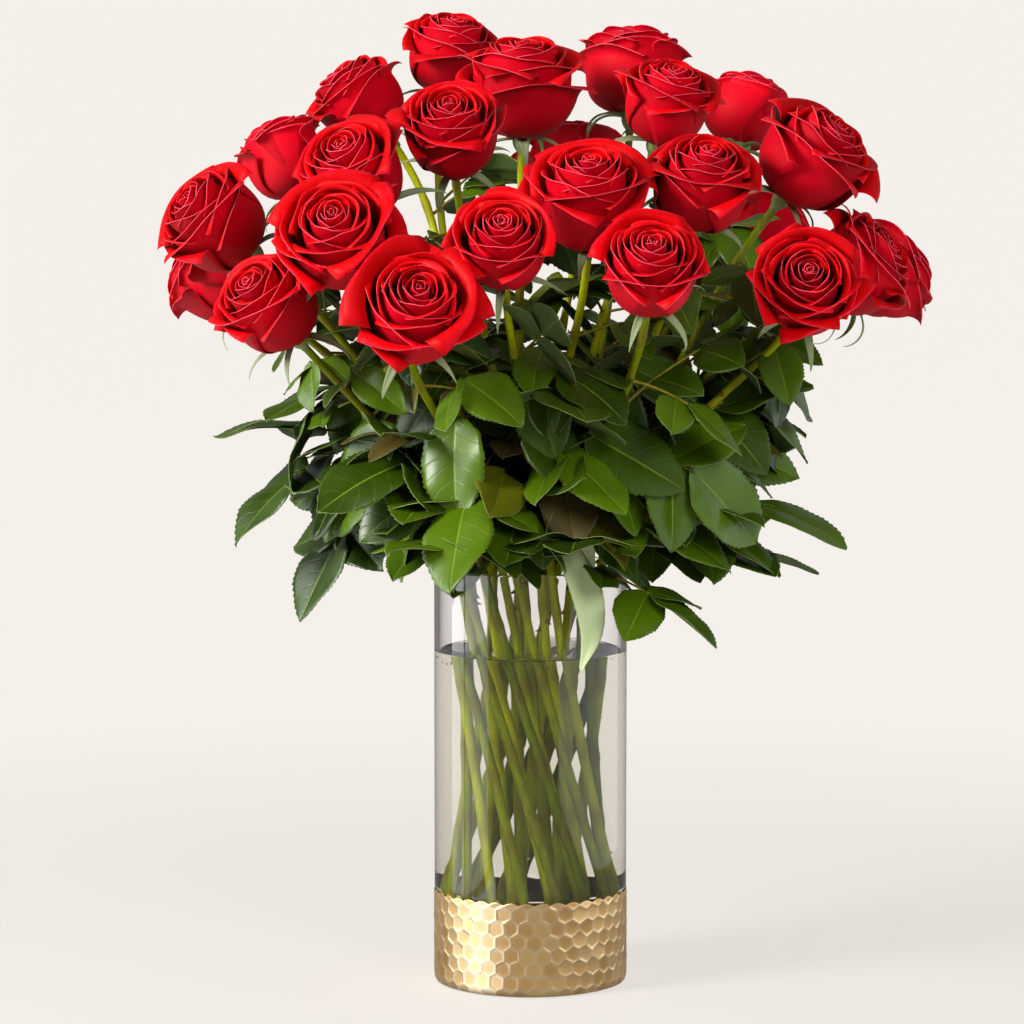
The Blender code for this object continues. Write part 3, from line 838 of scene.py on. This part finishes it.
def hang_leaves(finishes, dark):
    """The leaves of HANGING, each a long pointed blade along its curve."""
    for number, (knots, twist, tone) in enumerate(HANGING, 1):
        knots = np.array(knots) * MM
        middle = spline(knots[:, :3], BLADE_ROWS) + [0, 0, RIM_Z]
        place = np.linspace(0, 1, len(knots))
        half = np.interp(np.linspace(0, 1, BLADE_ROWS), place, knots[:, 3])
        half = np.convolve(np.pad(half, 3, "edge"), np.ones(7) / 7, "valid")
        half = half * (1 + 0.03 * (np.arange(BLADE_ROWS) % 2))
        half[-1] = 0.1 * MM
        along = np.gradient(middle, axis=0)
        along /= np.linalg.norm(along, axis=1)[:, None]
        turns = np.radians(np.linspace(twist, -twist * 0.2, BLADE_ROWS))
        points, lay = np.empty((BLADE_ROWS, BLADE_COLUMNS, 3)), np.empty((BLADE_ROWS, BLADE_COLUMNS, 4))
        for k in range(BLADE_ROWS):
            face = np.array([math.sin(turns[k]), -math.cos(turns[k]), 0.35])
            face = unit(face - along[k] * face.dot(along[k]))
            side = np.cross(face, along[k])
            for i, a in enumerate(np.linspace(-1, 1, BLADE_COLUMNS)):
                points[k, i] = middle[k] + half[k] * (a * side + 0.28 * abs(a) * face)
                lay[k, i] = (k / (BLADE_ROWS - 1), (a + 1) / 2, tone, GREEN)
        sheets = Sheets()
        sheets.grid(points[:, ::-1], lay)
        made = sheets.build(f"hanging_leaf_{number}", *(finishes if tone else dark), thickness=LEAF_THICKNESS)


CAD_LEAVES = 10
LEAF_SPACING = 29 * MM
LEAF_TRIES = 14
# A leaf that crowds the rest more than this is left out. At the upper left the photo has few leaves.
MOST_CROWDING, MOST_AT_LEFT = 280, 120


def grow_leaves(finishes, stem_finish):
    """Every leaf but the hanging ones: the CAD's, the tiers in front, and those along each stem."""
    room = Room()
    for number in range(1, CAD_LEAVES + 1):
        rng = random.Random(40 + number)
        root, along, normal, size = cad_leaf(number)
        sheets, stalks = Sheets(), Sheets()
        compound_leaf(sheets, stalks, rng, root, along, normal, size * 0.92, 2, GREEN, hang=0.1)
        blade = sheets.build(f"leaf_blades_{number:02d}", *finishes, thickness=LEAF_THICKNESS)
        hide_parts(f"leaf_{number:02d}")
        stalk = stalks.build(f"leaf_stalk_{number:02d}", stem_finish)
        room.take(leaf_spots(root, along, normal, size, 2))
    place_leaves(room, finishes, stem_finish)
    joints = {}
    for rose in ROSES:
        rng = random.Random(2000 + rose.number)
        sheets, stalks = Sheets(), Sheets()
        line = rose.line
        along = lengths_along(line)
        low = np.interp(RIM_Z + 6 * MM, line[:, 2], along)
        top = along[-1] - 44 * MM
        places = np.arange(low + rng.uniform(0, 20) * MM, top, LEAF_SPACING)
        joints[rose.number] = [float(p) for p in places]
        turn = rng.uniform(0, 6.28)
        for place in places:
            spot = np.array([np.interp(place, along, line[:, k]) for k in range(3)])
            share = (spot[2] - RIM_Z) / (170 * MM)
            turn += GOLDEN_TURN
            outward = math.atan2(spot[1], spot[0])
            best = None
            for _ in range(LEAF_TRIES):
                azimuth = outward + rng.gauss(0, 1.0) if rng.random() < 0.7 else turn + rng.uniform(-0.5, 0.5)
                rise = math.radians(rng.uniform(-14, 46))
                size = rng.uniform(0.74, 1.08) * (1 if share < 0.7 else 0.72)
                pairs = 2 if rng.random() < 0.55 and share < 0.7 else 1
                level = math.cos(rise)
                facing = np.array([math.cos(azimuth) * level, math.sin(azimuth) * level, math.sin(rise)])
                side = unit(np.cross([0, 0, 1], facing))
                roll = rng.gauss(0, 0.45)
                up = np.cross(facing, side)
                normal = unit(up * math.cos(roll) + side * math.sin(roll))
                root = spot + facing * 2.5 * MM
                spots = leaf_spots(root, facing, normal, size, pairs)
                cost = room.cost(spots)
                if best is None or cost < best[0]:
                    best = (cost, root, facing, normal, size, pairs, spots)
            cost, root, facing, normal, size, pairs, spots = best
            sparse = share > 0.7 and spot[0] < -50 * MM
            if cost > (MOST_AT_LEFT if sparse else MOST_CROWDING):
                continue
            room.take(spots)
            kind = rng.choices((GREEN, OLIVE, YOUNG), (0.86, 0.09, 0.05))[0]
            grown = size * (0.72 if kind == YOUNG else 1)
            compound_leaf(sheets, stalks, rng, root, facing, normal, grown, pairs, kind)
        if sheets.count:
            sheets.build(f"foliage_{rose.number:02d}", *finishes, thickness=LEAF_THICKNESS)
            stalks.build(f"foliage_stalks_{rose.number:02d}", stem_finish)
    return joints


# ---------------------------------------------------------------- vase


def lathe(sheets, profile, sides):
    """A surface turned round +Z from (radius, height) points. Points on the axis close it."""
    turns = np.linspace(0, 2 * math.pi, sides, endpoint=False)
    rings = [np.stack([r * np.cos(turns), r * np.sin(turns), np.full(sides, z)], axis=1) for r, z in profile]
    sheets.grid(np.array(rings), (0, 0, 0, 0), wrap=True)


def arc(x, z, radius, start, end, steps):
    """Points of a profile along a round stretch, between two angles in degrees."""
    turns = np.radians(np.linspace(start, end, steps + 1))
    return [(x + radius * math.cos(a), z + radius * math.sin(a)) for a in turns]


def welded(made):
    """Joins the points that a lathe leaves together on its axis and its seam."""
    mesh = made.data
    shape = bmesh.new()
    shape.from_mesh(mesh)
    bmesh.ops.remove_doubles(shape, verts=shape.verts, dist=1e-6)
    bmesh.ops.recalc_face_normals(shape, faces=shape.faces)
    shape.to_mesh(mesh)
    shape.free()
    mesh.shade_smooth()


VASE_SIDES = 192
BAND_WALL = 0.8 * MM
BAND_GAP = 0.3 * MM
FOOT_ROUND = 5 * MM
RIM_ROUND = 1.7 * MM
INNER_ROUND = 6 * MM


def build_glass(finish):
    """The vase's glass: a thick floor, a wall that steps in behind the gold band, and a rounded rim."""
    inner = VASE_R - WALL
    seat = BAND_R - BAND_WALL - BAND_GAP
    profile = [(1e-5, 0), (seat - FOOT_ROUND, 0)]
    profile += arc(seat - FOOT_ROUND, FOOT_ROUND, FOOT_ROUND, -90, 0, 8)[1:]
    profile += [(seat, BAND_Z - 1 * MM), (seat, BAND_Z + 0.3 * MM)]
    profile += [(VASE_R, BAND_Z + 0.9 * MM), (VASE_R, BAND_Z + 2 * MM)]
    profile += [(VASE_R, z) for z in np.linspace(BAND_Z + 10 * MM, RIM_Z - 3 * MM, 12)]
    profile += arc(VASE_R - RIM_ROUND, RIM_Z - RIM_ROUND, RIM_ROUND, 0, 180, 12)
    profile += [(inner, z) for z in np.linspace(RIM_Z - 4 * MM, FLOOR_Z + 12 * MM, 12)]
    profile += arc(inner - INNER_ROUND, FLOOR_Z + INNER_ROUND, INNER_ROUND, 0, -90, 8)
    profile += [(inner * 0.5, FLOOR_Z - 0.3 * MM), (1e-5, FLOOR_Z)]
    sheets = Sheets()
    lathe(sheets, profile, VASE_SIDES)
    made = sheets.build("vase_body", finish)
    welded(made)
    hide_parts("vase_glass")


def build_water(finish):
    """The water. Its edge climbs the glass a little, and its skin lies just inside the glass's."""
    inner = VASE_R - WALL
    grip = 0.2 * MM
    profile = [(1e-5, FLOOR_Z - grip), (inner - INNER_ROUND, FLOOR_Z - grip)]
    profile += arc(inner - INNER_ROUND + grip, FLOOR_Z + INNER_ROUND - grip, INNER_ROUND, -90, 0, 8)[1:]
    profile += [(inner + grip, z) for z in np.linspace(FLOOR_Z + 20 * MM, WATER_Z - 1.5 * MM, 8)]
    profile += [(inner + grip, WATER_Z + 0.2 * MM), (inner + grip, WATER_Z + 0.9 * MM)]
    profile += [(inner - 0.2 * MM, WATER_Z + 1.2 * MM), (inner - 0.8 * MM, WATER_Z + 0.5 * MM)]
    profile += [(inner - 2.0 * MM, WATER_Z + 0.1 * MM), (inner - 4.0 * MM, WATER_Z), (1e-5, WATER_Z)]
    sheets = Sheets()
    lathe(sheets, profile, VASE_SIDES)
    made = sheets.build("water", finish)
    welded(made)


BAND_CELLS = 39
CELL_STEPS = 15
BAND_ROWS = 104
GOLD_THICKNESS = 0.45 * MM
CELL_DENT = 0.28 * MM
CELL_EDGE = 0.20 * MM
CELL_TILT = 0.024
SCALLOP = 1.7 * MM


def build_band(finish):
    """The gold band: a sleeve beaten into rows of hexagonal cells, with a scalloped top."""
    rng = np.random.default_rng(11)
    around, up = BAND_CELLS * CELL_STEPS, BAND_ROWS
    girth = 2 * math.pi * BAND_R
    cell = girth / BAND_CELLS
    rise = cell * 0.866
    low = BAND_LOW[2]
    foot = 5.4 * MM
    turns = np.arange(around) / around * girth
    centres = []
    for row in range(-1, int((BAND_Z - low) / rise) + 3):
        for k in range(BAND_CELLS):
            x, z = rng.uniform(-0.08, 0.08, 2) * cell
            tilt_x, tilt_z = rng.normal(0, CELL_TILT, 2)
            x += (k + 0.5 * (row % 2)) * cell
            z += BAND_Z - (row - 0.05) * rise
            centres.append((x, z, rng.random(), tilt_x, tilt_z))
    centres = np.array(centres)
    scallop = np.abs(np.sin(math.pi * (turns / cell - 0.5)))
    top = BAND_Z - 0.2 * MM - (1 - scallop) * SCALLOP
    points = np.empty((up, around, 3))
    lay = np.zeros((up, around, 4))
    for j, h in enumerate(np.linspace(0, 1, up)):
        z = low + (top - low) * h
        gap_x = turns[:, None] - centres[None, :, 0]
        gap_x = (gap_x + girth / 2) % girth - girth / 2
        gap_z = z[:, None] - centres[None, :, 1]
        far = np.hypot(gap_x, gap_z)
        first, second = np.partition(far, 1, axis=1)[:, :2].T
        mine = far.argmin(axis=1)
        own = np.arange(around)
        ridge = np.clip((second - first) / (0.5 * cell), 0, 1)
        dent = CELL_DENT * (1 - (first / (0.62 * cell)) ** 2).clip(0, 1) ** 0.9
        dent += CELL_EDGE * np.clip(ridge * 3, 0, 1)
        tilt = gap_x[own, mine] * centres[mine, 3] + gap_z[own, mine] * centres[mine, 4]
        dent += tilt * np.clip(ridge * 4, 0, 1)
        dip = np.clip((low + foot - z) / foot, 0, 1)
        radius = BAND_R + 0.1 * MM - dent
        radius = radius - foot * (1 - np.sqrt(np.clip(1 - (dip * 0.62) ** 2, 0, 1)))
        angle = turns / BAND_R
        points[j] = np.stack([radius * np.cos(angle), radius * np.sin(angle), z], axis=1)
        # The first lay number is highest on the cells' raised rims, where the gold takes its painted glint.
        lay[j, :, 0] = 1 - ridge
        lay[j, :, 2] = centres[mine, 2]
    sheets = Sheets()
    sheets.grid(points, lay, wrap=True)
    made = sheets.build("gold_sleeve", finish, thickness=GOLD_THICKNESS)
    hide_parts("gold_band")


WALL_BUBBLES = 45
STEM_BUBBLES = 45


def build_bubbles(finish):
    """Small bubbles that cling to the glass just under the water's edge, and to the stems."""
    rng = random.Random(77)
    sheets = Sheets()
    steps = np.linspace(0.02, math.pi - 0.02, 7)
    turns = np.linspace(0, 2 * math.pi, 10, endpoint=False)
    ball = np.stack([np.outer(np.sin(steps), np.cos(turns)), np.outer(np.sin(steps), np.sin(turns)),
                     np.outer(np.cos(steps), np.ones(10))], axis=-1)
    for k in range(WALL_BUBBLES + STEM_BUBBLES):
        size = rng.uniform(0.35, 0.95) * MM
        turn = rng.uniform(0, 2 * math.pi)
        if k < WALL_BUBBLES:
            far = VASE_R - WALL - size - 0.3 * MM
            spot = (far * math.cos(turn), far * math.sin(turn), WATER_Z - abs(rng.gauss(0, 2.5)) * MM - size)
        else:
            line = rng.choice(ROSES).line
            under = line[(line[:, 2] < WATER_Z - 4 * MM) & (line[:, 2] > 60 * MM)]
            aside = 3.4 * MM * np.array([math.cos(turn), math.sin(turn), 0])
            spot = under[rng.randrange(len(under))] + aside
        sheets.grid(np.array(spot) + ball * size, (0, 0, rng.random(), 0), wrap=True)
    made = sheets.build("bubbles", finish)
    welded(made)


# ---------------------------------------------------------------- studio


def aim(thing, target):
    thing.rotation_mode = "QUATERNION"
    thing.rotation_quaternion = (Vector(target) - thing.location).to_track_quat("-Z", "Y")


def softbox(name, place, target, width, height, watts, colour):
    data = bpy.data.lights.new(name, "AREA")
    data.shape = "RECTANGLE"
    data.size, data.size_y = width, height
    data.energy = watts
    data.color = colour
    made = bpy.data.objects.new(name, data)
    bpy.context.scene.collection.objects.link(made)
    made.location = place
    aim(made, target)
    return made


PAPER = (0.905, 0.863, 0.815)
# How much the floor glows, how much light it takes near the object, and where that fades out in metres
FLOOR_GLOW = 0.77
FLOOR_SHADE = 0.15
FLOOR_FADE = (0.25, 1.25)
MIRRORED_DIM = 0.8
ROOM_RADIUS = 5.0
CAMERA_AT = (-0.012, -2.6862, 0.5799)
CAMERA_AIM = (-0.012, 0, 0.307)
CAMERA_LENS = 146.6


def paper_material():
    """Pale paper that glows softly. Near the object it takes shadows, and further off it only glows.

    Where the glass mirrors it, it is dim, as the dark side of a studio would be.
    """
    made, tree, shader = shader_of("studio_paper", Roughness=0.9, Specular_IOR_Level=0.05)
    split = node(tree, "ShaderNodeSeparateXYZ", object_point(tree)).outputs
    squares = (maths(tree, "POWER", split[0], 2.0), maths(tree, "POWER", split[1], 2.0))
    far = maths(tree, "SQRT", plus(tree, *squares))
    fade = node(tree, "ShaderNodeMapRange", far, *FLOOR_FADE, interpolation_type="SMOOTHSTEP").outputs[0]
    grain = noise(tree, 700, 2, 0.5, object_point(tree))
    darker, lighter = (tuple(share * FLOOR_SHADE * c for c in PAPER) for share in (0.98, 1.02))
    near = ramp(tree, grain, (0.0, darker), (1.0, lighter))
    tree.links.new(blend(tree, fade, near, (0.0, 0.0, 0.0)), shader.inputs["Base Color"])
    shader.inputs["Emission Color"].default_value = (*PAPER, 1)
    glow = plus(tree, FLOOR_GLOW, times(tree, fade, 1 - FLOOR_GLOW))
    mirrored = maths(tree, "GREATER_THAN", node(tree, "ShaderNodeLightPath").outputs["Glossy Depth"], 0.5)
    dimmed = minus(tree, 1.0, times(tree, mirrored, MIRRORED_DIM))
    tree.links.new(times(tree, glow, dimmed), shader.inputs["Emission Strength"])
    return made


def backdrop(name, finish, profile, sides=96):
    """Part of the studio: a surface turned round +Z, which faces inwards and up."""
    sheets = Sheets()
    lathe(sheets, profile, sides)
    mesh = bpy.data.meshes.new(name)
    mesh.from_pydata(np.vstack(sheets.points), [], np.vstack(sheets.faces).tolist())
    mesh.materials.append(finish)
    mesh.shade_smooth()
    made = bpy.data.objects.new(name, mesh)
    bpy.context.scene.collection.objects.link(made)
    return made


# Lights that only show as reflections: name, place, width, height, radiance, colour
PANES = (
    ("window_1", (-0.42, 0.010, 0.08), 0.150, 0.18, 2.4, (0.92, 0.97, 1.0)),
    ("window_2", (-0.42, -0.224, 0.08), 0.287, 0.18, 2.0, (0.92, 0.97, 1.0)),
    ("window_3", (-0.42, 0.010, 0.33), 0.150, 0.32, 5.5, (0.95, 0.98, 1.0)),
    ("window_4", (-0.42, -0.224, 0.33), 0.287, 0.32, 4.0, (0.95, 0.98, 1.0)),
    ("window_5", (0.42, -0.200, 0.26), 0.920, 0.50, 1.15, (0.86, 0.92, 1.0)),
    ("gold_left", (-0.42, -0.270, -0.19), 0.460, 0.34, 2.3, (0.46, 0.62, 1.0)),
    ("gold_front", (0, -0.60, -0.25), 0.900, 0.44, 0.17, (1.0, 0.95, 0.9)),
)


def build_studio():
    """A round pale room, a soft key, windows that only show as reflections, and the camera."""
    scene = bpy.context.scene
    paper = paper_material()
    floor = backdrop("floor", paper, [(1e-4, 0), (0.1, 0), (0.3, 0), (0.7, 0), (FLOOR_FADE[1] + 0.05, 0)])
    floor.visible_glossy = False
    cove = [(ROOM_RADIUS - 1 + math.sin(a), 1.0 - math.cos(a)) for a in np.linspace(0, math.pi / 2, 12)]
    ceiling = [(ROOM_RADIUS, 4.0), (ROOM_RADIUS / 2, 6.0), (1e-4, 6.2)]
    room = backdrop("room", paper, [(FLOOR_FADE[1] + 0.05, 0), *cove, *ceiling])
    room.visible_diffuse = room.visible_glossy = room.visible_shadow = False
    world = bpy.data.worlds.new("studio")
    world.use_nodes = True
    back = world.node_tree.nodes["Background"]
    back.inputs[0].default_value = (1.0, 0.98, 0.95, 1)
    back.inputs[1].default_value = 0.27
    scene.world = world
    softbox("key", (-2.1, -1.25, 1.55), (0, 0, 0.42), 0.9, 0.9, 115, (1.0, 0.975, 0.94))
    fill = softbox("fill", (0.9, -2.0, 1.2), (0, 0, 0.42), 0.9, 0.9, 26, (0.97, 0.98, 1.0))
    fill.visible_glossy = False
    for name, place, width, height, glow, colour in PANES:
        pane = softbox(name, place, (0, place[1] if place[0] else 0, place[2]), width, height,
                       glow * math.pi * width * height, colour)
        pane.visible_camera = pane.visible_diffuse = pane.visible_transmission = False
    lens = bpy.data.cameras.new("camera")
    lens.sensor_width = 36
    lens.lens = CAMERA_LENS
    camera = bpy.data.objects.new("camera", lens)
    scene.collection.objects.link(camera)
    camera.location = CAMERA_AT
    aim(camera, CAMERA_AIM)
    scene.camera = camera
    scene.view_settings.view_transform = "Standard"
    scene.view_settings.exposure = 0.0


# ---------------------------------------------------------------- assembly

# Petals: three colours up each petal. The first is painted shade toward its base, also used for its veins; the
# middle is its body; the last is a painted highlight along its lip. The third set, for the petals' edges, is
# painted highlight throughout
RED = ((0.17, 0.0, 0.0), (0.64, 0.0, 0.0025), (0.82, 0.004, 0.018))
RED_BACK = ((0.38, 0.0, 0.005), (0.56, 0.0, 0.010), (0.72, 0.009, 0.030))
RED_LIP_HIGHLIGHT = ((0.45, 0.002, 0.012), (0.84, 0.03, 0.06), (0.93, 0.10, 0.15))
# Leaves: (dark, light, vein, edge) colours
LEAF_FACE = ((0.007, 0.021, 0.0003), (0.075, 0.150, 0.0015), (0.20, 0.30, 0.02), (0.06, 0.10, 0.003))
LEAF_UNDER = ((0.045, 0.075, 0.018), (0.10, 0.15, 0.036), (0.17, 0.23, 0.06), (0.08, 0.12, 0.02))
LEAF_EDGE = ((0.14, 0.19, 0.04), (0.22, 0.28, 0.07), (0.2, 0.25, 0.06), (0.2, 0.25, 0.06))
PALE_FACE = ((0.36, 0.46, 0.17), (0.62, 0.74, 0.40), (0.66, 0.78, 0.46), (0.16, 0.30, 0.03))
PALE_UNDER = ((0.10, 0.22, 0.02), (0.14, 0.30, 0.03), (0.25, 0.42, 0.08), (0.1, 0.2, 0.03))
SEPAL_FACE = ((0.10, 0.16, 0.03), (0.20, 0.28, 0.07), (0.26, 0.36, 0.12), (0.2, 0.2, 0.06))
SEPAL_UNDER = ((0.20, 0.25, 0.13), (0.32, 0.38, 0.20), (0.38, 0.42, 0.24), (0.2, 0.2, 0.1))
# How far each bloom has opened, from 0 to 1
OPENED = (0.6, 0.9, 0.6, 0.5, 0.6, 0.25, 0.75, 0.6, 0.85, 0.5, 0.9, 0.5,
          0.85, 0.5, 0.7, 0.6, 0.1, 0.9, 0.65, 0.6, 0.8, 0.7, 0.5, 0.6)


def main():
    petals = (
        petal_material("petal_face", RED, 0.03, 0.42),
        petal_material("petal_back", RED_BACK, 0.05, 0.5),
        # The petals' edges take a painted highlight, pale pink.
        petal_material("petal_lip_highlight", RED_LIP_HIGHLIGHT, 0.05, 0.5),
    )
    leaf_edge = leaf_material("leaf_edge", *LEAF_EDGE, 0.4)
    leaves = (
        leaf_material("leaf_face", *LEAF_FACE, 0.19, 0.36),
        leaf_material("leaf_under", *LEAF_UNDER, 0.45, 0.25),
        leaf_edge,
    )
    pale = (
        leaf_material("young_leaf_face", *PALE_FACE, 0.35),
        leaf_material("young_leaf_under", *PALE_UNDER, 0.4),
    )
    sepals = (
        leaf_material("sepal_face", *SEPAL_FACE, 0.42, 0.3),
        leaf_material("sepal_under", *SEPAL_UNDER, 0.5, 0.3),
    )
    stem = stem_material()
    for rose in ROSES:
        build_bloom(rose, OPENED[rose.number - 1], petals)
        build_calyx(rose, sepals)
    joints = grow_leaves(leaves, stem)
    hang_leaves(pale, leaves)
    for rose in ROSES:
        build_stem(rose, joints[rose.number], stem)
    build_glass(glass_material())
    water = water_material()
    build_water(water)
    build_bubbles(water)
    build_band(gold_material())
    build_studio()


main()
